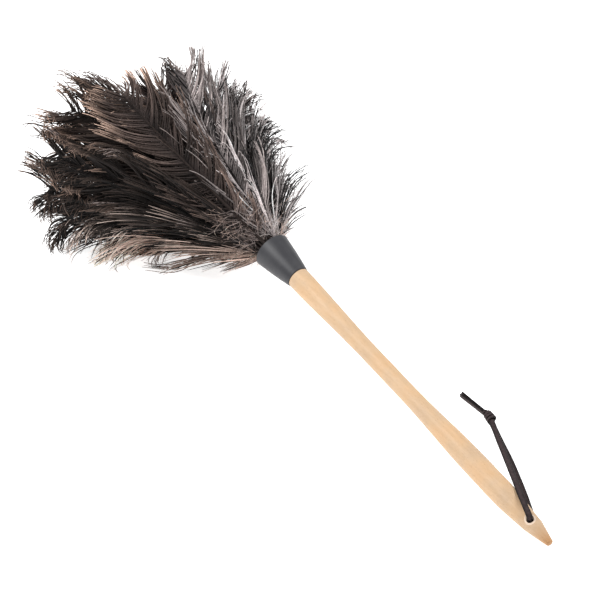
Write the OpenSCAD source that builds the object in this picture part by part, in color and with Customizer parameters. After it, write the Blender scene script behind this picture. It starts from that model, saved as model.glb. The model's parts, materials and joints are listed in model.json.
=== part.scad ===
// Feather duster lying at rest: a turned beech handle, a conical ferrule, plumes
// bound round the handle's tenon, and a knotted leather lace to hang it by.
// +X runs from the plumes toward the handle's nose, +Z is up, and the duster lies
// on z = 0 with its origin under the middle of its bounding box.

/* [Handle] */
// Length of the wood from the ferrule to the nose
handle_len = 338; // [320:1:350]
// Diameter of the wood at the ferrule
shoulder_d = 19.6; // [19:0.1:20]
// Diameter of the slim waist
waist_d = 15.2; // [13:0.1:17]
// Diameter of the thick belly of the grip
belly_d = 20.6; // [18:0.2:22]
// Diameter of the wood where the pointed nose begins
nose_d = 14.6; // [13:0.1:15]
// Diameter of the blunt end of the nose
nose_end_d = 6.2; // [5:0.1:7]
// How steeply the handle slopes down to its nose at rest, in degrees
slope = 8.5; // [7.5:0.25:9.5]

/* [Ferrule] */
// Length of the ferrule along the handle
ferrule_len = 38; // [34:1:40]
// Outside diameter where it meets the wood
ferrule_small_d = 20.4; // [20.2:0.1:21]
// Outside diameter of its mouth
ferrule_mouth_d = 33; // [32:0.2:34]
// Thickness of the ferrule's wall
ferrule_wall = 1.3; // [1:0.1:1.5]

/* [Plumes] */
// Length of the longest plume beyond the ferrule
head_len = 226; // [210:2:240]
// Width of the plume head
head_w = 236; // [210:2:250]
// Height of the head above the handle's axis as a share of half its width
head_rise = 0.84; // [0.7:0.02:1]
// Thickness of a quill where it is bound
quill_d = 1.9; // [1.5:0.1:2]

/* [Binding] */
// Thickness of the binding wire
wire_d = 0.9; // [0.6:0.1:0.9]
// Turns of wire round the quills
wire_turns = 7; // [4:1:7]

/* [Lace] */
// Width of the flat leather lace
lace_w = 5; // [4:0.1:5]
// Thickness of the leather lace
lace_t = 1.8; // [1.6:0.1:1.9]
// Diameter of the hole that the lace passes through
lace_hole_d = 6.4; // [6:0.1:6.6]

/* [Hidden] */
ROUND = 96;
glue_gap = 0.15;

// The duster's own axes: along the handle, sideways, and square to both.
along = [cos(slope), 0, -sin(slope)];
sideways = [0, 1, 0];
upward = [sin(slope), 0, cos(slope)];

// Distance from the ferrule and radius at the turned handle's landmarks.
body_end = handle_len - 14;
stations = [
    [0, shoulder_d / 2],
    [105, waist_d / 2],
    [150, waist_d / 2],
    [245, belly_d / 2],
    [275, belly_d / 2],
    [body_end, nose_d / 2]
];
body_steps = 54;
shoulder_chamfer = 0.6;

// The nose is a cone sanded a little askew, with a rounded end.
nose_slope = 12;
nose_tilt = 2.5;
nose_roll = 212;
nose_round = 1.5;
nose_back = 420;

// The spigot fits the ferrule, and the plumes are bound round the tenon.
spigot_len = 9;
tenon_d = 7.6;
tenon_len = 26.5;

lace_hole_at = handle_len - 24.5;
lace_hole_roll = 18;
lace_hole_rim = 1.1;
lace_hole_sink = 2.6;
hole_dir = upward * cos(lace_hole_roll) - sideways * sin(lace_hole_roll);

ferrule_crown = 0.4;
ferrule_edge = 0.4;
ferrule_steps = 12;

// Quills stand in a ring for each tier, straight where they are bound.
quill_butt = 12;
quill_bound = 27;
mouth_r = ferrule_mouth_d / 2 - ferrule_wall - 0.8;

// Count, inner and outer share of the head's radius, quill ring radius, and length.
core_tier = [5, 0.03, 0.30, 4.9, head_len];
inner_tier = [13, 0.33, 0.64, 6.9, head_len * 0.97];
outer_tier = [20, 0.67, 1, 8.9, head_len * 0.89];
sector_fill = 0.93;
widest_at = 190;
flat_rise_at = 60;

// Outline of a plume's section: outward from the handle's axis, then sideways.
section = [[1, -0.8], [1, 0], [1, 0.8], [0, 1], [-1, 0.8], [-1, 0], [-1, -0.8], [0, -1]];
// Distance beyond the ferrule and share of the plume's room that the section fills.
fills = [[0, 0.5], [12, 0.7], [30, 0.9], [55, 1], [85, 1], [115, 1], [145, 1], [168, 0.92]];
tip_fill = 0.62;
tip_fill_at = 0.94;

// The binding wire winds on just outside the outer quills.
wire_from = 15;
wire_pitch = 1.5;
wire_steps = 16;
wire_sides = 6;
wire_r = outer_tier[3] + quill_d / 2 + wire_d / 2 + glue_gap;

// The lace climbs out of the hole and over the wood, then drops to its knot.
upper_route = [
    [274.7, 0, 8.2], [275, -0.6, 10.1], [275.3, -1.2, 12], [275.6, -1.9, 14],
    [275.9, -2.5, 16], [275.9, -2.9, 17.7], [275, -3, 19.2], [273.2, -2.6, 20.4],
    [269.8, -1.6, 21.5], [264.2, 0.6, 22.4], [257.2, 3.5, 22.8], [248.6, 7.6, 22.2],
    [239, 12.5, 20.6], [229, 17.8, 18.3], [218.4, 23.4, 15.9], [207.4, 29.2, 13.4],
    [196.8, 34.8, 11.2], [186.4, 40.1, 9.3], [176.4, 45.3, 7.8], [166.6, 50.1, 6.6],
    [159.6, 53.5, 6.1]
];
// Its other half leaves under the wood and lies on the surface up to the knot.
lower_route = [
    [274.7, 0, 8.2], [274.4, 0.6, 6.4], [274.1, 1.3, 4.6], [273.7, 2.2, 2.9],
    [272.8, 3.5, 1.7], [270.4, 5.8, 1.2], [265.9, 9.1, 1.1], [259.6, 12.9, 1.1],
    [252.3, 16.4, 1.1], [244.1, 20.5, 1.1], [233.6, 25.3, 1.1], [222.9, 30, 1.1],
    [212.1, 34.7, 1.1], [201.1, 39.2, 1.1], [189.8, 43.3, 1.2], [178.6, 47.3, 1.6],
    [168.5, 50.9, 2.3], [159.6, 54, 3.2]
];
lace_side_in_hole = [-0.39, -0.89, -0.23];
lace_side_at_knot = [-0.4, -0.92, 0];
// The flat lace cups where it passes the hole.
lace_cup = 0.8;
lace_cup_rings = 6;
lace_section = [[1, 0], [0.85, 0.8], [0, 1], [-0.85, 0.8], [-1, 0], [-0.85, -0.8],
    [0, -1], [0.85, -0.8]];

// The overhand knot, and the two ends of the lace that stand on edge beyond it.
knot_at = [154.5, 55.4, 5];
knot_turn = 156;
knot_len = 11;
knot_d = 9.4;
knot_round = 2.4;
tail_len = 31;
tail_h = 4.4;
tail_apart = 0.25;
tail_turn = 182;

function smooth(t) = (1 - cos(180 * t)) / 2;
function mix(a, b, t) = a + (b - a) * t;
function unit(v) = v / norm(v);

// Radius of the turned body at a distance from the ferrule.
function body_r(u) =
    let (
        i = max([for (k = [0 : len(stations) - 2]) if (u >= stations[k][0]) k]),
        from = stations[i],
        to = stations[i + 1]
    )
    mix(from[1], to[1], smooth((u - from[0]) / (to[0] - from[0])));

// Radius of the skewed nose cone on the wood's underside.
function nose_under_r(u) =
    nose_end_d / 2
    + (handle_len - u) * (tan(nose_slope) - sin(nose_roll) * tan(nose_tilt));

// Height of the axis at the ferrule when the wood just touches the surface.
lift = max([for (u = [body_end - 20 : 0.5 : body_end])
    u * sin(slope) + min(body_r(u), nose_under_r(u)) * cos(slope)]);

// From distances along, sideways and upward of the handle's axis to the row's axes.
function leaned(p) = along * p[0] + sideways * p[1] + upward * p[2] + [0, 0, lift];
function placed(p) = leaned(p) - [middle_x, 0, 0];

// Distance from the handle's axis down to the surface, beyond the ferrule.
function floor_at(a) = (lift + (ferrule_len + a) * sin(slope)) / cos(slope);

// Radius of the whole head, which opens like a bowl.
function head_r(a) =
    mouth_r + (head_w / 2 - mouth_r) * (1 - pow(1 - min(a / widest_at, 1), 2));

// A point in the head: share of its radius, angle round the handle, and distance.
function head_point(share, angle, a) =
    let (
        r = head_r(a),
        rise = mix(1, head_rise, min(a / flat_rise_at, 1)),
        up = sin(angle) > 0 ? r * rise * sin(angle) : -min(-r * sin(angle), floor_at(a))
    )
    leaned([-ferrule_len - a, share * r * cos(angle), share * up]);

// One quill section, a circle round its place in the bound bundle.
function quill_ring(tier, angle, depth) =
    let (out = [cos(angle), sin(angle)], across = [-sin(angle), cos(angle)])
    [for (s = section)
        let (p = out * (tier[3] + unit(s)[0] * quill_d / 2) + across * unit(s)[1] * quill_d / 2)
        leaned([-depth, p[0], p[1]])];

// One section of the plume's soft part, shaped like its share of the head.
function plume_ring(tier, angle, a, fill) =
    let (
        middle = (tier[1] + tier[2]) / 2,
        half = (tier[2] - tier[1]) / 2,
        sector = 180 / tier[0] * sector_fill
    )
    [for (s = section)
        head_point(middle + s[0] * half * fill, angle + s[1] * sector * fill, a)];

function plume_rings(tier, k) =
    let (angle = 90 + 360 / tier[0] * k)
    concat(
        [quill_ring(tier, angle, quill_butt), quill_ring(tier, angle, quill_bound)],
        [for (f = fills) plume_ring(tier, angle, f[0], f[1])],
        [plume_ring(tier, angle, tier[4] * tip_fill_at, tip_fill)],
        [plume_ring(tier, angle, tier[4], tip_fill / 3)]
    );

// The origin sits halfway between the nose and the farthest plume.
nose_x = (handle_len - nose_round) * cos(slope)
    + (nose_end_d / 2 - nose_round) * sin(slope) + nose_round;
head_x = min([for (tier = [core_tier, inner_tier, outer_tier], k = [0 : tier[0] - 1])
    min([for (ring = plume_rings(tier, k), p = ring) p[0]])]);
middle_x = (nose_x + head_x) / 2;

// A closed skin over rings of points, each with the same number of points.
module skin(rings) {
    n = len(rings[0]);
    last = len(rings) - 1;
    sides = [for (j = [0 : last - 1], i = [0 : n - 1])
        let (a = j * n + i, b = j * n + (i + 1) % n)
        each [[a, a + n, b], [b, a + n, b + n]]];
    polyhedron(
        [for (ring = rings) each ring],
        concat(sides, [[for (i = [0 : n - 1]) i]], [[for (i = [n - 1 : -1 : 0]) last * n + i]])
    );
}

// Stands a shape that runs along +Z on the handle's axis, with Z toward the nose.
module on_handle() {
    translate([-middle_x, 0, lift])
        rotate([0, 90 + slope, 0])
            children();
}

// The nose cone reaches back past the whole handle, so that it trims only the nose.
module nose_cone() {
    end_r = nose_end_d / 2;
    rounding = [for (t = [0 : 18 : 90])
        [end_r - nose_round * (1 - cos(t)), nose_round * (sin(t) - 1)]];
    back_r = end_r + nose_back * tan(nose_slope);
    translate([0, 0, handle_len])
        rotate([0, 0, 90 - nose_roll])
            rotate([0, nose_tilt, 0])
                rotate_extrude($fn = ROUND)
                    polygon(concat([[0, -nose_back], [back_r, -nose_back]], rounding, [[0, 0]]));
}

// The blank as turned, from the tenon's end to just short of the nose.
module turned_blank() {
    spigot = ferrule_small_d / 2 - ferrule_wall - glue_gap;
    flare = (ferrule_mouth_d - ferrule_small_d) / 2 / ferrule_len;
    body = [for (k = [1 : body_steps])
        let (u = body_end * k / body_steps) [body_r(u), u]];
    rotate_extrude($fn = ROUND)
        polygon(concat(
            [
                [0, -tenon_len],
                [tenon_d / 2 - 0.5, -tenon_len],
                [tenon_d / 2, -tenon_len + 0.5],
                [tenon_d / 2, -spigot_len],
                [spigot + flare * spigot_len, -spigot_len],
                [spigot, 0],
                [shoulder_d / 2 - shoulder_chamfer, 0],
                [shoulder_d / 2, shoulder_chamfer]
            ],
            body,
            [[nose_d / 2, handle_len], [0, handle_len]]
        ));
}

// The hole for the lace, countersunk at both mouths to ease the leather over the wood.
module lace_hole() {
    r = lace_hole_d / 2;
    reach = shoulder_d;
    mouth = body_r(lace_hole_at) - lace_hole_rim;
    wide_r = r + lace_hole_sink;
    translate([0, 0, lace_hole_at])
        rotate([0, 0, lace_hole_roll])
            rotate([0, 90, 0])
                rotate_extrude($fn = ROUND)
                    polygon([
                        [0, -reach], [wide_r, -reach], [wide_r, -mouth - lace_hole_sink],
                        [r, -mouth], [r, mouth],
                        [wide_r, mouth + lace_hole_sink], [wide_r, reach], [0, reach]
                    ]);
}

module handle() {
    color("burlywood")
        on_handle()
            difference() {
                intersection() {
                    turned_blank();
                    nose_cone();
                }
                lace_hole();
            }
}

module ferrule() {
    function outside(t) =
        mix(ferrule_small_d, ferrule_mouth_d, t) / 2 + ferrule_crown * sin(180 * t);
    mouth = outside(1);
    skin_r = [for (k = [1 : ferrule_steps - 1])
        [outside(k / ferrule_steps), -ferrule_len * k / ferrule_steps]];
    bore_r = [for (k = [ferrule_steps : -1 : 0])
        [outside(k / ferrule_steps) - ferrule_wall, -ferrule_len * k / ferrule_steps]];
    color("dimgray")
        on_handle()
            rotate_extrude($fn = ROUND)
                polygon(concat(
                    [
                        [outside(0) - ferrule_edge, 0],
                        [outside(0), -ferrule_edge]
                    ],
                    skin_r,
                    [
                        [mouth, ferrule_edge - ferrule_len],
                        [mouth - ferrule_edge, -ferrule_len]
                    ],
                    bore_r
                ));
}

// A helix of wire round the quill bundle.
module binding_wire() {
    count = wire_turns * wire_steps;
    color("silver")
        skin([for (j = [0 : count])
            let (turn = 360 * j / wire_steps, depth = wire_from + wire_pitch * j / wire_steps)
            [for (i = [0 : wire_sides - 1])
                let (side = -360 * i / wire_sides, r = wire_r + wire_d / 2 * cos(side))
                placed([-depth - wire_d / 2 * sin(side), r * cos(turn), r * sin(turn)])]]);
}

module plume(tier, k, shade) {
    color(shade)
        skin([for (ring = plume_rings(tier, k))
            [for (p = ring) p - [middle_x, 0, 0]]]);
}

// One strand of the flat lace, with a section at every point of its route.
module lace_strand(route) {
    last = len(route) - 1;
    rings = [for (j = [0 : last])
        let (
            ahead = unit(route[min(j + 1, last)] - route[max(j - 1, 0)]),
            lean_side = mix(lace_side_in_hole, lace_side_at_knot, j / last),
            side = unit(lean_side - ahead * (lean_side * ahead)),
            face = cross(ahead, side),
            width = lace_w / 2 * mix(lace_cup, 1, smooth(min(j / lace_cup_rings, 1)))
        )
        [for (s = lace_section) route[j] + side * s[0] * width + face * s[1] * lace_t / 2]];
    color("saddlebrown")
        skin(rings);
}

module lace_knot() {
    half = knot_len / 2;
    r = knot_d / 2;
    rounding = [for (t = [0 : 15 : 90])
        [r - knot_round * (1 - sin(t)), half - knot_round * (1 - cos(t))]];
    color("saddlebrown")
        translate(knot_at)
            rotate([0, 90, knot_turn])
                rotate_extrude($fn = 48)
                    polygon(concat(
                        [[0, half]],
                        rounding,
                        [for (k = [len(rounding) - 1 : -1 : 0]) [rounding[k][0], -rounding[k][1]]],
                        [[0, -half]]
                    ));
}

module lace_tails() {
    color("saddlebrown")
        translate(knot_at + [0, 0, -tail_h / 2])
            rotate([0, 0, tail_turn])
                for (side = [-1, 1])
                    translate([knot_len / 2 - 1.5, side * (lace_t + tail_apart) / 2 - lace_t / 2, 0])
                        cube([tail_len, lace_t, tail_h]);
}

handle();
ferrule();
binding_wire();
lace_strand(upper_route);  // lace_upper_strand
lace_strand(lower_route);  // lace_lower_strand
lace_knot();
lace_tails();
for (k = [0 : core_tier[0] - 1])
    plume(core_tier, k, "dimgray");
for (k = [0 : inner_tier[0] - 1])
    plume(inner_tier, k, "gray");
for (k = [0 : outer_tier[0] - 1])
    plume(outer_tier, k, "rosybrown");
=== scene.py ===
import json
import math

import bpy
import numpy as np
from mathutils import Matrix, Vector


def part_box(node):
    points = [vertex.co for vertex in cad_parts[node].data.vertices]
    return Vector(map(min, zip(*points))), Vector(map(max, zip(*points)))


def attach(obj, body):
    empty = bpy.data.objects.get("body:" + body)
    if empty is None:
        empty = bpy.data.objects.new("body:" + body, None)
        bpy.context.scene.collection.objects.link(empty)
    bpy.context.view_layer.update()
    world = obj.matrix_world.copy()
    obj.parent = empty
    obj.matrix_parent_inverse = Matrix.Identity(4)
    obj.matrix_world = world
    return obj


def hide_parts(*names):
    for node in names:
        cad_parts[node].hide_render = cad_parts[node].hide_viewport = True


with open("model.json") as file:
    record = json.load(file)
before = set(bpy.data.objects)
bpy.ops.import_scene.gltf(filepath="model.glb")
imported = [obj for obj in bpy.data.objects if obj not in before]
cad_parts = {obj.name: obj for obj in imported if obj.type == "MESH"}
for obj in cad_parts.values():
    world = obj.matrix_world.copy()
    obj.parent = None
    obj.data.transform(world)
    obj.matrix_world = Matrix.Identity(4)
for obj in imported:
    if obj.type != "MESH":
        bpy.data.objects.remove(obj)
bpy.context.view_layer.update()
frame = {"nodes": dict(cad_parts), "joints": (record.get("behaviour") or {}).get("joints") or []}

MM = 0.001


# --- Where things are -----------------------------------------------------------------

VERTICAL = np.array([0.0, 0.0, 1.0])
SLOPE = math.radians(8.5)
ALONG = np.array([math.cos(SLOPE), 0, -math.sin(SLOPE)])
SIDEWAYS = np.array([0.0, 1.0, 0.0])
UPWARD = np.array([math.sin(SLOPE), 0, math.cos(SLOPE)])

swing = frame["joints"][0]
HOLE = np.array(swing["pos_m"])
HOLE_AXIS = np.array(swing["axis"])
knot_low, knot_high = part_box("lace_knot")
KNOT = np.array((knot_low + knot_high) / 2)

ferrule_low, ferrule_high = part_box("ferrule")
MOUTH_R = (ferrule_high.y - ferrule_low.y) / 2
MOUTH = np.array([
    ferrule_low.x + MOUTH_R * math.sin(SLOPE),
    0,
    ferrule_high.z - MOUTH_R * math.cos(SLOPE),
])


# --- Vectors and meshes ---------------------------------------------------------------

def unit(v):
    v = np.asarray(v, float)
    return v / np.maximum(np.linalg.norm(v, axis=-1, keepdims=True), 1e-12)


def smooth(t):
    t = np.clip(t, 0, 1)
    return t * t * (3 - 2 * t)


def mesh_object(name, verts, faces, material, tint):
    """A smooth mesh with a tint per vertex; faces is a list of arrays of triangles, quads or n-gons."""
    mesh = bpy.data.meshes.new(name)
    loops = np.concatenate([f.ravel() for f in faces]).astype(np.int32)
    totals = np.concatenate([np.full(len(f), f.shape[1], np.int32) for f in faces])
    starts = np.concatenate([[0], np.cumsum(totals)[:-1]]).astype(np.int32)
    mesh.vertices.add(len(verts))
    mesh.vertices.foreach_set("co", np.asarray(verts, np.float32).ravel())
    mesh.loops.add(len(loops))
    mesh.loops.foreach_set("vertex_index", loops)
    mesh.polygons.add(len(totals))
    mesh.polygons.foreach_set("loop_start", starts)
    mesh.polygons.foreach_set("loop_total", totals)
    mesh.polygons.foreach_set("use_smooth", np.ones(len(totals), bool))
    mesh.update(calc_edges=True)
    layer = mesh.color_attributes.new("tint", "FLOAT_COLOR", "POINT")
    rgba = np.ones((len(verts), 4), np.float32)
    rgba[:, :3] = tint
    layer.data.foreach_set("color", rgba.ravel())
    mesh.materials.append(material)
    made = bpy.data.objects.new(name, mesh)
    bpy.context.scene.collection.objects.link(made)
    return made


def tube_faces(rings, sides):
    """Faces of a closed tube of rings: its side quads and the two end caps."""
    r, s = np.meshgrid(np.arange(rings - 1), np.arange(sides), indexing="ij")
    a = r * sides + s
    b = r * sides + (s + 1) % sides
    quads = np.stack([a, b, b + sides, a + sides], axis=-1).reshape(-1, 4)
    start = np.arange(sides)[::-1]
    end = (rings - 1) * sides + np.arange(sides)
    return quads, np.stack([start, end])


# --- Shader parts ---------------------------------------------------------------------

WHITE = (1, 1, 1)


def new_material(name, roughness, **settings):
    material = bpy.data.materials.new(name)
    material.use_nodes = True
    shader = material.node_tree.nodes["Principled BSDF"]
    shader.inputs["Roughness"].default_value = roughness
    for socket, value in settings.items():
        shader.inputs[socket.replace("_", " ")].default_value = value
    return material, material.node_tree, shader


def add_node(tree, kind, **values):
    node = tree.nodes.new(kind)
    for key, value in values.items():
        if key in node.inputs:
            node.inputs[key].default_value = value
        else:
            setattr(node, key, value)
    return node


def colour_ramp(tree, factor, stops):
    ramp = tree.nodes.new("ShaderNodeValToRGB")
    elements = ramp.color_ramp.elements
    while len(elements) < len(stops):
        elements.new(0.5)
    for element, (place, colour) in zip(elements, stops):
        element.position = place
        element.color = (*colour, 1)
    tree.links.new(factor, ramp.inputs["Fac"])
    return ramp.outputs["Color"]


def mix_colours(tree, factor, first, second, blend="MIX"):
    node = tree.nodes.new("ShaderNodeMix")
    node.data_type = "RGBA"
    node.blend_type = blend
    factor_in, first_in, second_in = node.inputs[0], node.inputs[6], node.inputs[7]
    for socket, value in ((factor_in, factor), (first_in, first), (second_in, second)):
        if isinstance(value, bpy.types.NodeSocket):
            tree.links.new(value, socket)
        else:
            socket.default_value = value
    return node.outputs[2]


def multiply(tree, colour, pattern, share=1.0):
    return mix_colours(tree, share, colour, pattern, "MULTIPLY")


def noise(tree, vector, scale, detail=2.0, rough=0.5):
    node = add_node(tree, "ShaderNodeTexNoise", Scale=scale, Detail=detail, Roughness=rough)
    tree.links.new(vector, node.inputs["Vector"])
    return node.outputs["Fac"]


def map_range(tree, value, start, end):
    node = add_node(tree, "ShaderNodeMapRange")
    node.inputs["From Min"].default_value = start
    node.inputs["From Max"].default_value = end
    tree.links.new(value, node.inputs["Value"])
    return node.outputs["Result"]


def bump(tree, shader, height, strength, distance):
    node = add_node(tree, "ShaderNodeBump", Strength=strength, Distance=distance)
    tree.links.new(height, node.inputs["Height"])
    tree.links.new(node.outputs["Normal"], shader.inputs["Normal"])


def object_place(tree, turn=(0, 0, 0), scale=(1, 1, 1), centre=(0, 0, 0)):
    """Places in the object's own space, measured from a centre, turned and scaled."""
    coords = tree.nodes.new("ShaderNodeTexCoord")
    shift = add_node(tree, "ShaderNodeVectorMath", operation="SUBTRACT")
    shift.inputs[1].default_value = centre
    mapping = add_node(tree, "ShaderNodeMapping", Rotation=turn, Scale=scale)
    tree.links.new(coords.outputs["Object"], shift.inputs[0])
    tree.links.new(shift.outputs[0], mapping.inputs["Vector"])
    return mapping.outputs["Vector"]


def paint(tree, shader, colour):
    tree.links.new(colour, shader.inputs["Base Color"])


def tint_of_mesh(tree):
    return add_node(tree, "ShaderNodeAttribute", attribute_name="tint").outputs["Color"]


# --- Camera, lights and floor ---------------------------------------------------------

VIEW_AZIMUTH = math.radians(53.5)
VIEW_ELEVATION = math.radians(40)
VIEW_DISTANCE = 2.6
LOOK_AT = Vector((-0.0630, 0.0224, 0))
LENS = 180
SENSOR = 36

STUDIO_GLOW = 0.58
LIGHT_SIZE = 0.8
KEY_LIGHT_PLACE = (-0.7, -1.1, 1.8)
KEY_LIGHT_POWER = 46
SIDE_LIGHT_PLACE = (0.7, 1.4, 1.5)
SIDE_LIGHT_POWER = 28

FLOOR_SIZE = 60
FLOOR_DROP = 0.2 * MM
FLOOR_GREY = (0.8, 0.8, 0.8, 1)
FLOOR_GLOW = 0.75


def add_camera():
    toward_camera = Vector((
        math.sin(VIEW_AZIMUTH) * math.cos(VIEW_ELEVATION),
        -math.cos(VIEW_AZIMUTH) * math.cos(VIEW_ELEVATION),
        math.sin(VIEW_ELEVATION),
    ))
    data = bpy.data.cameras.new("camera")
    data.lens = LENS
    data.sensor_width = SENSOR
    camera = bpy.data.objects.new("camera", data)
    camera.location = LOOK_AT + toward_camera * VIEW_DISTANCE
    camera.rotation_euler = toward_camera.to_track_quat("Z", "Y").to_euler()
    bpy.context.scene.collection.objects.link(camera)
    bpy.context.scene.camera = camera
    bpy.context.scene.view_settings.view_transform = "Standard"


def area_light(name, place, target, power):
    data = bpy.data.lights.new(name, "AREA")
    data.shape = "SQUARE"
    data.size = LIGHT_SIZE
    data.energy = power
    light = bpy.data.objects.new(name, data)
    light.location = place
    light.rotation_euler = (Vector(place) - Vector(target)).to_track_quat("Z", "Y").to_euler()
    bpy.context.scene.collection.objects.link(light)


def add_studio():
    """White surroundings and two soft lights."""
    world = bpy.data.worlds.new("studio")
    world.use_nodes = True
    background = world.node_tree.nodes["Background"]
    background.inputs["Color"].default_value = (*WHITE, 1)
    background.inputs["Strength"].default_value = STUDIO_GLOW
    bpy.context.scene.world = world
    area_light("key_light", KEY_LIGHT_PLACE, (0, 0, 0.05), KEY_LIGHT_POWER)
    area_light("side_light", SIDE_LIGHT_PLACE, (-0.1, 0, 0.05), SIDE_LIGHT_POWER)


def add_floor():
    """A pale floor that glows a little, so that it stays white."""
    material, _, shader = new_material("pale_floor", 0.9)
    shader.inputs["Base Color"].default_value = FLOOR_GREY
    shader.inputs["Emission Color"].default_value = (*WHITE, 1)
    shader.inputs["Emission Strength"].default_value = FLOOR_GLOW
    bpy.ops.mesh.primitive_plane_add(size=FLOOR_SIZE, location=(0, 0, -FLOOR_DROP))
    floor = bpy.context.object
    floor.name = "floor"
    floor.data.materials.append(material)


add_camera()
add_studio()
add_floor()


# --- The leather lace: its cords come first ---------------------------------------------

LACE_WIDTH = 5 * MM
LACE_THICK = 1.8 * MM

# The strands' routes in mm, from the middle of the hole to the knot.
UPPER_ROUTE = [
    [274.7, 0, 8.2], [275, -0.6, 10.1], [275.3, -1.2, 12], [275.6, -1.9, 14],
    [275.9, -2.5, 16], [275.9, -2.9, 17.7], [275, -3, 19.2], [273.2, -2.6, 20.4],
    [269.8, -1.6, 21.5], [264.2, 0.6, 22.4], [257.2, 3.5, 22.8], [248.6, 7.6, 22.2],
    [239, 12.5, 20.6], [229, 17.8, 18.3], [218.4, 23.4, 15.9], [207.4, 29.2, 13.4],
    [196.8, 34.8, 11.2], [186.4, 40.1, 9.3], [176.4, 45.3, 7.8], [166.6, 50.1, 6.6],
    [159.6, 53.5, 6.1],
]
LOWER_ROUTE = [
    [274.7, 0, 8.2], [274.4, 0.6, 6.4], [274.1, 1.3, 4.6], [273.7, 2.2, 2.9],
    [272.8, 3.5, 1.7], [270.4, 5.8, 1.2], [265.9, 9.1, 1.1], [259.6, 12.9, 1.1],
    [252.3, 16.4, 1.1], [244.1, 20.5, 1.1], [233.6, 25.3, 1.1], [222.9, 30, 1.1],
    [212.1, 34.7, 1.1], [201.1, 39.2, 1.1], [189.8, 43.3, 1.2], [178.6, 47.3, 1.6],
    [168.5, 50.9, 2.3], [159.6, 54, 3.2],
]
STEPS_PER_POINT = 4

# The strip is pinched narrower in the hole, and is back to its width after these points.
PINCH = 0.8
PINCHED_POINTS = 6
SIDE_IN_HOLE = np.array([-0.39, -0.89, -0.23])
SIDE_AT_KNOT = np.array([-0.4, -0.92, 0])

# The leather's own colour on the flat faces, and a painted shade, near black, on the rounded edges.
FLAT_TINT = np.array([0.036, 0.025, 0.026])
PAINTED_EDGE_SHADE = np.array([0.004, 0.003, 0.003])

KNOT_TURN = math.radians(168)
KNOT_AXIS = np.array([math.cos(KNOT_TURN), math.sin(KNOT_TURN), 0])
KNOT_LEVEL = np.cross(VERTICAL, KNOT_AXIS)
KNOT_HALF = 6.6 * MM
KNOT_WIDTH = 5.2 * MM
KNOT_THICK = 3.4 * MM
KNOT_RINGS = 24

# The knot's turns: start in degrees, number of turns, then in mm the first and last place
# along the knot, the radius and the strip's width.
WRAPS = [
    (250, 1.2, -6.4, -3.2, 3.5, 3.0),
    (215, 1.2, -3.3, -0.2, 3.35, 3.1),
    (235, 1.2, -0.3, 2.8, 3.1, 3.0),
    (60, 1.0, 2.6, 5.0, 2.5, 2.8),
]
WRAP_RINGS = 56
WRAP_THICK = 0.9 * LACE_THICK
WRAP_TUCKED = 1.4 * MM
WRAP_RIPPLE = 0.25 * MM

TAIL_TURN = math.radians(182)
TAIL_LENGTHS = {-1: 31 * MM, 1: 30.2 * MM}
TAIL_START = 4 * MM
TAIL_WIDTH = 4.2 * MM
TAIL_THICK = 1.6 * MM
TAIL_OFF = 0.9 * MM
TAIL_PARTING = 0.35 * MM
TAIL_RINGS = 16


def leather_material():
    """Dark leather with a fine grain, worn paler in places."""
    material, tree, shader = new_material("dark_leather", 0.6, Specular_IOR_Level=0.15)
    place = object_place(tree)
    wear = colour_ramp(tree, noise(tree, place, 420, 4, 0.6), [
        (0.3, (0.55, 0.53, 0.53)), (0.52, WHITE), (0.75, (1.35, 1.35, 1.35))])
    paint(tree, shader, multiply(tree, tint_of_mesh(tree), wear))
    bump(tree, shader, noise(tree, place, 1400, 3, 0.65), 0.6, 0.4 * MM)
    return material


def spline(points, steps):
    """Points on a smooth curve through the given ones."""
    p = np.asarray(points, float)
    p = np.vstack([2 * p[0] - p[1], p, 2 * p[-1] - p[-2]])
    t = np.linspace(0, 1, steps, endpoint=False)[:, None]
    runs = []
    for a, b, c, d in zip(p[:-3], p[1:-2], p[2:-1], p[3:]):
        runs.append(0.5 * (2 * b + (c - a) * t + (2 * a - 5 * b + 4 * c - d) * t**2
                           + (3 * b - a - 3 * c + d) * t**3))
    return np.vstack(runs + [p[-2:-1]])


def strip_section(width, thick, corner_steps=3):
    """Outline of a flat strip with rounded edges, as sideways and outward offsets."""
    r = thick / 2
    middle = max(width / 2 - r, 0.01 * MM)
    points = []
    for hand, start in ((1, -90), (-1, 90)):
        for k in range(2 * corner_steps + 1):
            a = math.radians(start + 90 * k / corner_steps)
            points.append((hand * middle + r * math.cos(a), r * math.sin(a)))
        points += [(hand * middle * part, hand * r * 1.06) for part in (0.45, -0.45)]
    return np.array(points)


def sweep_strip(path, sides, widths, thick):
    """Vertices, faces and tints of a flat strip along a path, with a side and a width per point."""
    ahead = unit(np.gradient(path, axis=0))
    side = unit(sides - ahead * np.sum(sides * ahead, axis=1, keepdims=True))
    face = np.cross(ahead, side)
    rings = []
    for k, point in enumerate(path):
        section = strip_section(widths[k], thick)
        rings.append(point + section[:, :1] * side[k] + section[:, 1:] * face[k])
    quads, ends = tube_faces(len(path), len(section))
    # Across the strip the tint falls from the flat faces' colour to the painted shade on the edges.
    flat = 1 - smooth((np.abs(section[:, :1]) / widths[-1] * 2 - 0.42) / 0.5)
    ring_tint = PAINTED_EDGE_SHADE + (FLAT_TINT - PAINTED_EDGE_SHADE) * flat
    return np.vstack(rings), [quads, ends], np.tile(ring_tint, (len(path), 1))


def strip_mesh(name, strips, material):
    """One mesh of several strips, each a path, its sides, widths and thickness."""
    verts, faces, tints, first = [], [], [], 0
    for path, sides, widths, thick in strips:
        points, groups, tint = sweep_strip(path, sides, widths, thick)
        verts.append(points)
        tints.append(tint)
        faces.extend(group + first for group in groups)
        first += len(points)
    return mesh_object(name, np.vstack(verts), faces, material, np.vstack(tints))


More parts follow.
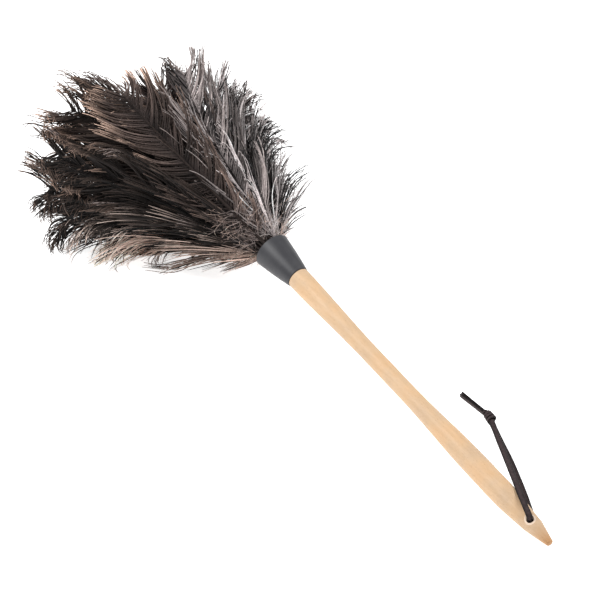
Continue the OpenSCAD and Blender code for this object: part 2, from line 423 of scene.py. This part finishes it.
def lace_strand(name, route):
    """One half of the lace, from the middle of the hole to the knot."""
    path = spline(np.array(route) * MM, STEPS_PER_POINT)
    t = np.linspace(0, 1, len(path))[:, None]
    sides = SIDE_IN_HOLE + (SIDE_AT_KNOT - SIDE_IN_HOLE) * t
    out_of_hole = np.linspace(0, len(route) - 1, len(path)) / PINCHED_POINTS
    widths = LACE_WIDTH * (PINCH + (1 - PINCH) * smooth(out_of_hole))
    strand = strip_mesh(name, [(path, sides, widths, LACE_THICK)], leather)
    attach(strand, "lace")
    return strand


def wrap(start, turns, first_along, last_along, radius, width):
    """A strip wound round the knot's axis, with both ends tucked in. Sizes are in mm."""
    t = np.linspace(0, 1, WRAP_RINGS)
    turn = np.radians(start) + 2 * np.pi * turns * t
    tuck = smooth(t / 0.1) * smooth((1 - t) / 0.1)
    reach = WRAP_TUCKED + (radius * MM - WRAP_TUCKED) * tuck + WRAP_RIPPLE * np.sin(3 * turn)
    along = (first_along + (last_along - first_along) * t) * MM
    spoke = KNOT_LEVEL * np.cos(turn)[:, None] + VERTICAL * np.sin(turn)[:, None]
    path = KNOT + KNOT_AXIS * along[:, None] + spoke * reach[:, None]
    lean = KNOT_AXIS + np.cross(KNOT_AXIS, spoke) * -0.25
    return path, lean, np.full(len(t), width * MM), WRAP_THICK


def knot_strips():
    """The overhand knot: both strands through its middle, and their turns round it."""
    t = np.linspace(-1, 1, KNOT_RINGS)[:, None]
    through = KNOT + KNOT_AXIS * KNOT_HALF * t
    level = np.tile(KNOT_LEVEL, (KNOT_RINGS, 1))
    core = (through, level, KNOT_WIDTH * (1 - 0.25 * t[:, 0] ** 2), KNOT_THICK)
    return [core] + [wrap(*row) for row in WRAPS]


def tail_strips():
    """The two free ends, on edge side by side, parting slightly."""
    ahead = np.array([math.cos(TAIL_TURN), math.sin(TAIL_TURN), 0])
    beside = np.cross(VERTICAL, ahead)
    t = np.linspace(0, 1, TAIL_RINGS)[:, None]
    upright = np.tile(VERTICAL, (TAIL_RINGS, 1))
    strips = []
    for hand, length in TAIL_LENGTHS.items():
        off = hand * (TAIL_OFF + TAIL_PARTING * t**2)
        path = KNOT + ahead * (TAIL_START + length * t) + beside * off
        strips.append((path, upright, np.full(TAIL_RINGS, TAIL_WIDTH), TAIL_THICK))
    return strips


leather = leather_material()
knot = strip_mesh("lace_overhand_knot", knot_strips(), leather)
tails = strip_mesh("lace_ends", tail_strips(), leather)
for lace_piece, node in ((knot, "lace_knot"), (tails, "lace_tails")):
    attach(lace_piece, "lace")
    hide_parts(node)
upper_strand = lace_strand("lace_upper", UPPER_ROUTE)
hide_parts("lace_upper_strand")
lower_strand = lace_strand("lace_lower", LOWER_ROUTE)
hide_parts("lace_lower_strand")


# --- The plume head: its layout -----------------------------------------------------------

BARB_RINGS = 11
BARB_SIDES = 3
RACHIS_RINGS = 34
SHAFT_SIDES = 6
QUILL_DEPTH = 14 * MM

# Count, ring radius of the quills, share of the outer tier's splay, share of its length,
# and how light the tier is.
TIERS = {
    "core": (5, 4.9 * MM, 0.14, 1.05, 0.62),
    "inner": (13, 6.9 * MM, 0.52, 0.98, 0.78),
    "outer": (20, 8.9 * MM, 1.0, 1.0, 1.0),
}

# Angle round the handle, splay from the axis in degrees, length of the rachis in mm, and
# how much it drifts sideways.
SPREAD = [
    (-60, 31, 156, 0), (-20, 28, 140, 0), (5, 22, 142, 0), (25, 19, 148, 0),
    (48, 21, 146, 0.03), (72, 26, 148, 0.05), (90, 29, 171, 0.08), (108, 27, 160, -0.04),
    (126, 30, 178, 0.13), (155, 30, 220, 0), (180, 34, 230, 0), (199, 29, 188, 0.14),
    (216, 28, 152, 0), (236, 33, 154, 0), (260, 35, 156, 0), (300, 31, 156, 0),
]

# Angle round the handle, then the colours of a plume there: root, middle and tip.
PALETTE = [
    (-60, (0.090, 0.070, 0.066), (0.150, 0.120, 0.112), (0.210, 0.165, 0.145)),
    (-25, (0.700, 0.640, 0.635), (0.680, 0.615, 0.610), (0.500, 0.440, 0.430)),
    (20, (0.780, 0.715, 0.710), (0.760, 0.695, 0.690), (0.560, 0.505, 0.500)),
    (76, (0.660, 0.600, 0.595), (0.600, 0.545, 0.540), (0.360, 0.315, 0.305)),
    (92, (0.360, 0.315, 0.308), (0.340, 0.295, 0.285), (0.270, 0.228, 0.216)),
    (108, (0.070, 0.054, 0.051), (0.110, 0.085, 0.080), (0.260, 0.190, 0.160)),
    (128, (0.030, 0.022, 0.020), (0.112, 0.081, 0.070), (0.760, 0.535, 0.425)),
    (150, (0.009, 0.007, 0.006), (0.026, 0.019, 0.016), (0.450, 0.310, 0.245)),
    (166, (0.006, 0.004, 0.004), (0.010, 0.007, 0.006), (0.140, 0.097, 0.078)),
    (202, (0.005, 0.004, 0.003), (0.008, 0.006, 0.005), (0.110, 0.076, 0.061)),
    # From here round the underside, the plumes' own pinkish-beige is painted lighter still: painted
    # light standing in for the back-lit fluff underneath.
    (213, (0.008, 0.006, 0.005), (0.040, 0.029, 0.024), (0.950, 0.760, 0.665)),
    (226, (0.200, 0.154, 0.132), (0.850, 0.620, 0.515), (0.980, 0.740, 0.625)),
    (240, (0.600, 0.450, 0.375), (0.950, 0.710, 0.600), (0.980, 0.760, 0.650)),
    (300, (0.090, 0.070, 0.066), (0.150, 0.120, 0.112), (0.210, 0.165, 0.145)),
]

# The same three colours deep inside the head. Core and inner plumes have mostly these, and a little of
# the outer plumes' colours at their angle. On the grey side both are dimmed nearly to black, as painted
# shade in the gaps between the grey barbs.
INSIDE = [np.array(c) for c in (
    (0.010, 0.007, 0.006), (0.026, 0.018, 0.015), (0.330, 0.232, 0.185))]

PALE_TIP = np.array([0.28, 0.23, 0.215])
PINK_DOWN = np.array([0.72, 0.55, 0.47])
GREY_DOWN = np.array([0.30, 0.25, 0.235])
STRAY = np.array([0.060, 0.048, 0.045])
SHAFT_TINT = np.array([0.018, 0.012, 0.010])

# Sides of the head with a look of their own: the angle at their middle and their width, in
# degrees.
GREY_SIDE = (20, 62)  # grey barbs combed along the plume
TURNED_IN_SIDE = (20, 45)  # plumes that bend back toward the head's axis
DARK_SIDE = (182, 45)  # nearly black, longer and more curled
# The pale underside: its pinkish-beige is partly the feathers' own colour and partly painted light.
PALE_SIDE = (240, 45)  # the pale underside
SPRUNG_SIDE = (-10, 60)  # barbs that spring up at the foot
FLAT_SIDE = (126, 22)  # barbs that lie flat round the front plume
PINK_FOOT = (-20, 40)  # pink down
WISPY_SIDE = (5, 45)  # long stray wisps

# How many degrees a rachis bends outward along its whole length and further in its last fifth,
# what share of that is taken back on the turned-in side, and how far its heading drops at its tip.
BEND = 24
TIP_BEND = 34
TURNED_IN = 1.3
SINK = 0.14

# The part of the rachis that has barbs, and the share of barbs that start a new lock.
BARBED = (0.13, 0.995)
LOCK_STARTS = 0.2

# Every second outer plume stands out from the ring. The front one lies over the others: it
# stands out further, its barbs lie flatter and its shaft is thicker.
STANDS_OUT = 3 * MM
FRONT_PLUME = 2
FRONT_STANDS_OUT = 12 * MM
FRONT_STYLE = {
    "lift": -10, "hook": 12, "sweep": 48, "draw": 0.12, "droop": 0.1, "wave": 0.04, "base": 0.55,
}
FRONT_SHAFT = 1.7 * MM
SHAFT = 1.0 * MM

FIRST_SEED = 1000
DOWN_COUNT = 60
DOWN_REACH = 20 * MM
DOWN_THICK = 0.35 * MM
DOWN_PLACE = (0.1, 0.3)
WISP_COUNT = 12
WISP_REACH = 88 * MM
WISP_THICK = 0.34 * MM
WISP_PLACE = (0.3, 0.8)

# The head's room: where barbs start to be eased in, and what none of them passes.
ROOM_TOP = (172 * MM, 193 * MM)
ROOM_SIDE = (92 * MM, 130.5 * MM)
ROOM_FAR_END = (295 * MM, 323 * MM)
FLOOR_LAYER = 7 * MM
SHAFT_CLEARANCE = 2 * MM
BARB_CLEARANCE = 1.2 * MM


def around(angle, rows, column):
    """A table's column between its rows, at an angle round the handle."""
    angle = (angle + 60) % 360 - 60
    keys = [row[0] for row in rows]
    values = np.array([row[column] for row in rows], float).reshape(len(rows), -1)
    found = np.array([np.interp(angle, keys, v) for v in values.T])
    return found if len(found) > 1 else float(found[0])


def bell(angle, middle, width):
    """1 at the middle angle, falling to 0 on both sides of it."""
    off = (angle - middle + 180) % 360 - 180
    return math.exp(-(off / width) ** 2)


def radial(angle):
    a = math.radians(angle)
    return SIDEWAYS * math.cos(a) + UPWARD * math.sin(a)


def soft_limit(value, knee, limit):
    """Leaves what is below the knee and eases the rest toward the limit."""
    room = limit - knee
    over = np.maximum(value - knee, 0)
    return np.where(value > knee, knee + room * (1 - np.exp(-over / room)), value)


def keep_in_room(points, clearance):
    """Presses what would pass into the floor onto it, and eases in what reaches too far."""
    z = points[..., 2] - clearance
    pressed = FLOOR_LAYER * np.exp(np.clip((z - FLOOR_LAYER) / FLOOR_LAYER, -6, 0))
    z = np.where(z < FLOOR_LAYER, pressed, z) + clearance
    points[..., 2] = soft_limit(z, *ROOM_TOP)
    y = points[..., 1]
    points[..., 1] = np.sign(y) * soft_limit(np.abs(y), *ROOM_SIDE)
    points[..., 0] = -soft_limit(-points[..., 0], *ROOM_FAR_END)
    return points


# --- The plume head: one plume's parts ------------------------------------------------------

# What each column of a barb's random numbers changes. RISE also varies its width, SHADE the phase of
# its waves, and TURN the opening at the plume's tip and which locks are dimmed as painted shade or
# pale.
LENGTH, OPENING, HOOK, RISE, SHADE, TURN = range(6)
MOST_VARIED = 1.9


def barb_material():
    """Feather barbs, coloured strand by strand, with the fine speckle of barbules."""
    material, tree, shader = new_material(
        "plume_barbs", 0.6, Sheen_Weight=0.02, Sheen_Roughness=0.5, Specular_IOR_Level=0.14)
    place = object_place(tree)
    speckle = colour_ramp(tree, noise(tree, place, 900), [
        (0.3, (0.62, 0.6, 0.6)), (0.5, WHITE), (0.72, (1.3, 1.28, 1.28))])
    paint(tree, shader, multiply(tree, tint_of_mesh(tree), speckle))
    bump(tree, shader, noise(tree, place, 1500), 0.5, 0.6 * MM)
    return material


def rachis(rng, angle, tier, raised):
    """The plume's middle line: bound inside the ferrule, then bending out to its tip."""
    _, quill_r, splay_share, reach_share, _ = TIERS[tier]
    out = radial(angle)
    across = np.cross(-ALONG, out)
    s = np.linspace(0, 1, RACHIS_RINGS)
    splay = around(angle, SPREAD, 1) * splay_share + rng.normal(0, 1.5)
    length = around(angle, SPREAD, 2) * MM * reach_share * (1 + 0.04 * rng.normal())
    bend = BEND * (s - 0.5) * (0.4 + 0.6 * splay_share) + TIP_BEND * smooth((s - 0.78) / 0.22)
    bow = np.radians(splay + bend * (1 - TURNED_IN * bell(angle, *TURNED_IN_SIDE)))
    lean = around(angle, SPREAD, 3) + 0.06 * rng.normal()
    heading = (-ALONG * np.cos(bow)[:, None] + out * np.sin(bow)[:, None]
               + across * lean * s[:, None] ** 1.5)
    heading[:, 2] -= SINK * s**2
    heading = unit(heading)
    base = MOUTH + out * quill_r
    steps = np.vstack([[0, 0, 0], np.cumsum(heading[:-1], axis=0)]) * length / (len(s) - 1)
    points = base + steps + out * raised * smooth(s / 0.3)[:, None]
    bound = MOUTH + ALONG * QUILL_DEPTH + out * quill_r
    points = np.vstack([bound, (bound + base) / 2, points])
    return keep_in_room(points, SHAFT_CLEARANCE)


def along_curve(points, s):
    """Places at shares s of the curve's length, and the curve's heading there."""
    gaps = np.linalg.norm(np.diff(points, axis=0), axis=1)
    at = np.concatenate([[0], np.cumsum(gaps)]) / gaps.sum()
    heading = unit(np.gradient(points, axis=0))
    place = np.stack([np.interp(s, at, points[:, i]) for i in range(3)], axis=1)
    ahead = np.stack([np.interp(s, at, heading[:, i]) for i in range(3)], axis=1)
    return place, unit(ahead)


def strands(paths, widths, flat_side, colours):
    """Closed tapered strands: paths is barbs x rings x 3, widths and colours follow it."""
    count, rings, _ = paths.shape
    ahead = unit(np.gradient(paths, axis=1))
    side = unit(np.cross(ahead, flat_side))
    face = np.cross(ahead, side)
    turn = np.radians([90, 210, 330])
    ring = side[:, :, None] * np.cos(turn)[:, None] + face[:, :, None] * 0.7 * np.sin(turn)[:, None]
    verts = paths[:, :, None] + ring * widths[:, :, None, None]
    quads, caps = tube_faces(rings, BARB_SIDES)
    step = np.arange(count)[:, None, None] * rings * BARB_SIDES
    tint = np.repeat(colours[:, :, None], BARB_SIDES, axis=2)
    return (verts.reshape(-1, 3), (quads + step).reshape(-1, 4), (caps + step).reshape(-1, 3),
            tint.reshape(-1, 3))


def grow(root, heading, length):
    """Paths that start at the roots and follow the headings."""
    steps = unit(heading)[:, :-1] * (length / (heading.shape[1] - 1))[:, None, None]
    zero = np.zeros((len(root), 1, 3))
    return root[:, None] + np.concatenate([zero, np.cumsum(steps, axis=1)], axis=1)


def locks(rng, count):
    """For each barb, the barb that leads its lock."""
    group = np.cumsum(rng.random(count) < LOCK_STARTS)
    return np.array([np.flatnonzero(group == g).mean().astype(int) for g in group])


def varied(rng, count):
    """Random numbers for each barb, in the columns named above."""
    return np.clip(rng.normal(0, 1, (count, TURN + 1)), -MOST_VARIED, MOST_VARIED)


def shaded(colours, t, bright, tipped=1.0):
    """Colours from root to tip; bright scales each barb, tipped is its share of the tip's colour."""
    mid = smooth(t / 0.5)[None, :, None]
    end = smooth((t - 0.6) / 0.4)[None, :, None] * np.reshape(tipped, (-1, 1, 1))
    colour = colours[0] * (1 - mid) + colours[1] * mid * (1 - end) + colours[2] * end
    return np.clip(colour * bright[:, None, None], 0, 0.9)


def barb_lengths(style, s, common, own):
    """Lengths of the barbs at places s: short at the foot and short again at the tip."""
    tip = style["tip"]
    profile = np.interp(
        s, [0.1, 0.22, 0.45, 0.75, 0.92, 1],
        [style["base"] * 0.6, style["base"], 1, 0.5 + tip * 0.6, tip, tip * 0.7])
    return style["reach"] * profile * (1 + 0.12 * common[:, LENGTH] + 0.07 * own[:, LENGTH])


def barb_angles(style, s, t, hand, common, own):
    """How far each barb opens from the rachis along its length, waving and hooking sideways."""
    opening = np.radians(style["sweep"]) * (1 + 0.14 * common[:, OPENING] + 0.05 * own[:, OPENING])
    opening = opening * (1 + 0.25 * smooth((s - 0.8) / 0.2) * own[:, TURN])
    wave = style["wave"] * np.sin(2 * np.pi * (1.3 * t + common[:, SHADE, None])) * t
    turn = np.radians(style["side_hook"]) * (1 + 0.5 * common[:, TURN] + 0.25 * own[:, TURN])
    turn = turn if hand < 0 else -0.4 * turn
    return (opening[:, None] * (1 - 0.6 * smooth(t / 0.8)) + wave
            + turn[:, None] * smooth((t - 0.62) / 0.38))


def barb_rises(style, s, t, common, own):
    """How far each barb rises from the plume's plane along its length, hooked at its end."""
    late = smooth((s - style["calm"]) / 0.3)
    hook = np.radians(style["hook"]) * late * (0.9 + 0.5 * common[:, HOOK] + 0.2 * own[:, HOOK])
    spring = style["spring"] * smooth((0.35 - s) / 0.2)
    rise = np.radians(style["lift"] + spring + 5 * common[:, RISE] + 3 * own[:, RISE])
    return rise[:, None] + hook[:, None] * smooth((t - 0.45) / 0.55)


def barb_colours(style, colours, s, t, common, own, flecked):
    """Colours of the barbs: lighter and darker locks, some locks dimmed as painted shade for the gaps
    between them, black flecks and a few pale tips.
    """
    bright = np.exp(style["contrast"] * (common[:, SHADE] + style["grain"] * own[:, SHADE] - 0.3))
    # A share of locks is dimmed: painted shade for the deep gaps between locks.
    bright = bright * np.where(common[:, TURN] < -0.45, style["dark"], 1)
    bright = bright * np.where(flecked, 0.015, 1)
    tipped = style["tipped"] + (1 - style["tipped"]) * smooth((s - 0.4) / 0.35)
    colour = shaded(colours, t, bright, tipped)
    pale = (common[:, TURN] > 1.75)[:, None, None] * smooth((t - 0.6) / 0.3)[None, :, None]
    return colour * (1 - pale) + PALE_TIP * pale


def vane(rng, spine, out, hand, style, colours):
    """The barbs of one side of a plume; hand is -1 or 1."""
    count = style["barbs"]
    s = np.linspace(*BARBED, count) + rng.normal(0, 0.002, count)
    root, ahead = along_curve(spine, np.clip(s, 0, 1))
    face = unit(out - ahead * (ahead @ out)[:, None])
    across = np.cross(ahead, face) * hand
    lead = locks(rng, count)
    common = varied(rng, count)[lead]
    own = varied(rng, count)
    flecked = rng.random(count) < style["flecked"]
    t = np.linspace(0, 1, BARB_RINGS)
    angle = barb_angles(style, s, t, hand, common, own)
    rise = barb_rises(style, s, t, common, own)
    heading = (ahead[:, None] * (np.cos(angle) * np.cos(rise))[..., None]
               + across[:, None] * (np.sin(angle) * np.cos(rise))[..., None]
               + face[:, None] * np.sin(rise)[..., None])
    heading[..., 2] -= style["droop"] * t**1.5
    path = grow(root, heading, barb_lengths(style, s, common, own))
    draw = (style["draw"] * smooth(t))[None, :, None]
    path = path * (1 - draw) + (path[lead] + (root - root[lead])[:, None] * 0.3) * draw
    width = style["thick"] * (1 - 0.6 * t**2.5)[None, :] * np.exp(0.15 * own[:, RISE, None])
    return path, width, face, barb_colours(style, colours, s, t, common, own, flecked)


def stray_barbs(rng, spine, out, count, reach, colours, thick, place):
    """Frizzy down or long wisps that wander from roots between two shares of the rachis."""
    s = place[0] + (place[1] - place[0]) * rng.random(count)
    root, ahead = along_curve(spine, s)
    face = unit(out - ahead * (ahead @ out)[:, None])
    across = np.cross(ahead, face) * rng.choice([-1, 1], count)[:, None]
    spread = rng.uniform(0.5, 1.25, count)[:, None]
    rise = rng.normal(0.25, 0.3, (count, 1))
    start = ahead * np.cos(spread) + across * np.sin(spread) + face * rise
    wander = np.cumsum(rng.normal(0, 0.3, (count, BARB_RINGS, 3)), axis=1)
    t = np.linspace(0, 1, BARB_RINGS)
    heading = start[:, None] + wander * t[None, :, None]
    path = grow(root, heading, reach * rng.uniform(0.6, 1.2, count))
    colour = shaded(colours, t, np.exp(0.3 * rng.normal(0, 1, count)))
    width = thick * (1 - 0.7 * t)[None, :] * np.ones((count, 1))
    return path, width, face, colour


def shaft(spine, thick):
    """The plume's own rachis, a tapered rod."""
    ahead = unit(np.gradient(spine, axis=0))
    side = unit(np.cross(ahead, UPWARD + SIDEWAYS * 0.3))
    face = np.cross(ahead, side)
    radius = thick * (1 - 0.75 * np.linspace(0, 1, len(spine)))
    turn = np.arange(SHAFT_SIDES) * 2 * np.pi / SHAFT_SIDES
    verts = spine[:, None] + radius[:, None, None] * (
        side[:, None] * np.cos(turn)[:, None] + face[:, None] * np.sin(turn)[:, None])
    quads, caps = tube_faces(len(spine), SHAFT_SIDES)
    return verts.reshape(-1, 3), quads, caps, np.tile(SHAFT_TINT, (len(spine) * SHAFT_SIDES, 1))


# --- The plume head: all the plumes ---------------------------------------------------------

def plume_style(tier, angle, front):
    """What the barbs of a plume do at its angle: angles in degrees, sizes in metres."""
    grey = bell(angle, *GREY_SIDE)
    dark = bell(angle, *DARK_SIDE)
    pale = bell(angle, *PALE_SIDE)
    style = {
        "barbs": int((165 if tier == "outer" else 125) * (1 - 0.46 * grey + 0.4 * dark)),
        "reach": (62 + 20 * grey + 8 * dark + 16 * pale) * MM,
        "base": 0.85,
        "tip": 0.72 - 0.34 * grey + 0.16 * dark,
        "sweep": 48 - 30 * grey - 12 * dark + 8 * pale,
        "wave": 0.07 + 0.09 * grey,
        "hook": 45 + 10 * grey + 30 * dark,
        "side_hook": 95 * grey,
        "calm": 0.35 * (1 - grey),
        "spring": 22 * bell(angle, *SPRUNG_SIDE),
        "lift": 3 - 10 * bell(angle, *FLAT_SIDE),
        "droop": 0.22,
        "draw": 0.16 + 0.3 * grey,
        "contrast": 0.2 + 0.1 * grey,
        "grain": 0.6 + 0.6 * grey,
        # How far those locks are dimmed, near black on the grey side: painted shade for the gaps.
        "dark": 0.5 - 0.48 * grey,
        "flecked": 0.38 * grey + 0.26 * pale,
        "tipped": min(0.12 + grey + pale, 1),
        "thick": (0.56 + 0.2 * grey + 0.07 * dark) * MM,
    }
    if front:
        style.update(FRONT_STYLE)
    return style


def plume_colours(tier, angle, shade):
    """Root, middle and tip colours of a plume, from the palette at its shade angle."""
    colours = [np.array(around(shade, PALETTE, c)) for c in (1, 2, 3)]
    if tier == "outer":
        return colours
    light = TIERS[tier][4]
    grey = bell(angle, *GREY_SIDE)
    # Both shares shrink on the grey side: the inner plumes there are painted near black as shade
    # between the grey barbs.
    kept = 0.25 - 0.2 * grey
    seen = 1 - 0.85 * grey
    return [c * light * kept + b * 0.75 * seen for c, b in zip(colours, INSIDE)]


def down_colours(angle, colours):
    """Colours of a plume's down: pink underneath and low on the far side, greyer elsewhere."""
    if bell(angle, *PALE_SIDE) > 0.3 or bell(angle, *PINK_FOOT) > 0.4:
        return [PINK_DOWN] * 3
    return [c * 0.6 + GREY_DOWN * 0.4 for c in colours]


def add_plume(tier, k):
    """Plume k of a tier: its barbs, its shaft and, in the outer tier, down and wisps."""
    count = TIERS[tier][0]
    angle = 90 + 360 / count * k
    outer = tier == "outer"
    front = outer and k == FRONT_PLUME
    rng = np.random.default_rng(FIRST_SEED + 100 * count + k)
    out = radial(angle)
    colours = plume_colours(tier, angle, angle + rng.normal(0, 4))
    raised = STANDS_OUT * ((k + 1) % 2) if outer else 0.0
    if front:
        raised = FRONT_STANDS_OUT
    spine = rachis(rng, angle, tier, raised)
    style = plume_style(tier, angle, front)
    sets = [vane(rng, spine, out, hand, style, colours) for hand in (-1, 1)]
    if outer:
        down = down_colours(angle, colours)
        sets.append(stray_barbs(
            rng, spine, out, DOWN_COUNT, DOWN_REACH, down, DOWN_THICK, DOWN_PLACE))
    if outer and bell(angle, *WISPY_SIDE) > 0.4:
        sets.append(stray_barbs(
            rng, spine, out, WISP_COUNT, WISP_REACH, [STRAY] * 3, WISP_THICK, WISP_PLACE))
    path, width, face, colour = (np.concatenate([part[i] for part in sets]) for i in range(4))
    keep_in_room(path, BARB_CLEARANCE)
    verts, quads, caps, tint = strands(path, width, face[:, None], colour)
    shaft_verts, shaft_quads, shaft_caps, shaft_tint = shaft(spine, FRONT_SHAFT if front else SHAFT)
    shaft_faces = [shaft_quads + len(verts), shaft_caps + len(verts)]
    piece = mesh_object(
        f"{tier}_feather_{k + 1}", np.vstack([verts, shaft_verts]),
        [quads, caps, *shaft_faces], barbs, np.vstack([tint, shaft_tint]))
    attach(piece, "duster")
    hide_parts(f"{tier}_plume_{k + 1}")


barbs = barb_material()
for tier_name, tier_row in TIERS.items():
    for index in range(tier_row[0]):
        add_plume(tier_name, index)


# --- Wood, ferrule and wire ---------------------------------------------------------------

# Where the painted shade on the turned nose starts and where it is full, as distances from the hole
# toward the nose.
NOSE_SHADE_SPAN = (6 * MM, 23 * MM)

# The countersunk rim of the hole: its outer edge and where its own colour is full.
RIM = (4.8 * MM, 4.4 * MM)
RIM_COLOUR = (0.64, 0.50, 0.39, 1)


def handle_place(tree, squeeze=1):
    """Places on the handle from its hole, turned to its slope and squeezed across the grain."""
    return object_place(tree, (0, -SLOPE, 0), (1, squeeze, squeeze), tuple(HOLE))


def painted_nose_shade(tree):
    """Painted shade: the turned nose darkens toward its end."""
    toward_nose = add_node(tree, "ShaderNodeSeparateXYZ")
    tree.links.new(handle_place(tree), toward_nose.inputs["Vector"])
    share = map_range(tree, toward_nose.outputs["X"], *NOSE_SHADE_SPAN)
    return colour_ramp(tree, share, [(0.0, WHITE), (1.0, (0.76, 0.60, 0.44))])


def rim_share(tree):
    """The countersunk rim of the hole, by its distance from the hole's axis."""
    from_axis = add_node(tree, "ShaderNodeVectorMath", operation="CROSS_PRODUCT")
    tree.links.new(object_place(tree, centre=tuple(HOLE)), from_axis.inputs[0])
    from_axis.inputs[1].default_value = tuple(HOLE_AXIS)
    distance = add_node(tree, "ShaderNodeVectorMath", operation="LENGTH")
    tree.links.new(from_axis.outputs[0], distance.inputs[0])
    return map_range(tree, distance.outputs["Value"], *RIM)


def beech_material():
    """Pale turned beech: grain, short flecks, faint blotches, painted shade on the nose and the cut
    rim.
    """
    material, tree, shader = new_material("beech", 0.52, Specular_IOR_Level=0.3)
    grain = noise(tree, handle_place(tree, 14), 26, 6, 0.6)
    colour = colour_ramp(tree, grain, [
        (0.3, (0.470, 0.322, 0.194)), (0.5, (0.499, 0.342, 0.207)), (0.7, (0.528, 0.367, 0.229))])
    flecks = colour_ramp(tree, noise(tree, handle_place(tree, 3.5), 420), [
        (0.30, (0.80, 0.74, 0.70)), (0.42, WHITE)])
    blotches = colour_ramp(tree, noise(tree, object_place(tree), 38, 3, 0.55), [
        (0.35, (0.93, 0.95, 1.0)), (0.5, WHITE), (0.65, (1.04, 0.99, 0.93))])
    colour = multiply(tree, colour, flecks, 0.6)
    colour = multiply(tree, colour, blotches)
    # Painted shade on the turned nose.
    colour = multiply(tree, colour, painted_nose_shade(tree))
    paint(tree, shader, mix_colours(tree, rim_share(tree), colour, RIM_COLOUR))
    bump(tree, shader, grain, 0.12, 0.4 * MM)
    return material


def plastic_material():
    """Dark grey moulded plastic with a faint grain."""
    material, tree, shader = new_material("ferrule_plastic", 0.5, Specular_IOR_Level=0.4)
    place = object_place(tree)
    paint(tree, shader, colour_ramp(tree, noise(tree, place, 90, 4), [
        (0.3, (0.022, 0.022, 0.026)), (0.7, (0.031, 0.031, 0.035))]))
    bump(tree, shader, noise(tree, place, 1800), 0.2, 0.2 * MM)
    return material


def steel_material():
    """Plain drawn steel wire."""
    material, tree, shader = new_material("binding_steel", 0.35, Metallic=1.0)
    paint(tree, shader, colour_ramp(tree, noise(tree, object_place(tree), 400, 3), [
        (0.3, (0.40, 0.39, 0.37)), (0.7, (0.56, 0.55, 0.52))]))
    return material


cad_materials = {
    "handle": beech_material(),
    "ferrule": plastic_material(),
    "binding_wire": steel_material(),
}
for node, material in cad_materials.items():
    for slot in frame["nodes"][node].material_slots:
        slot.material = material
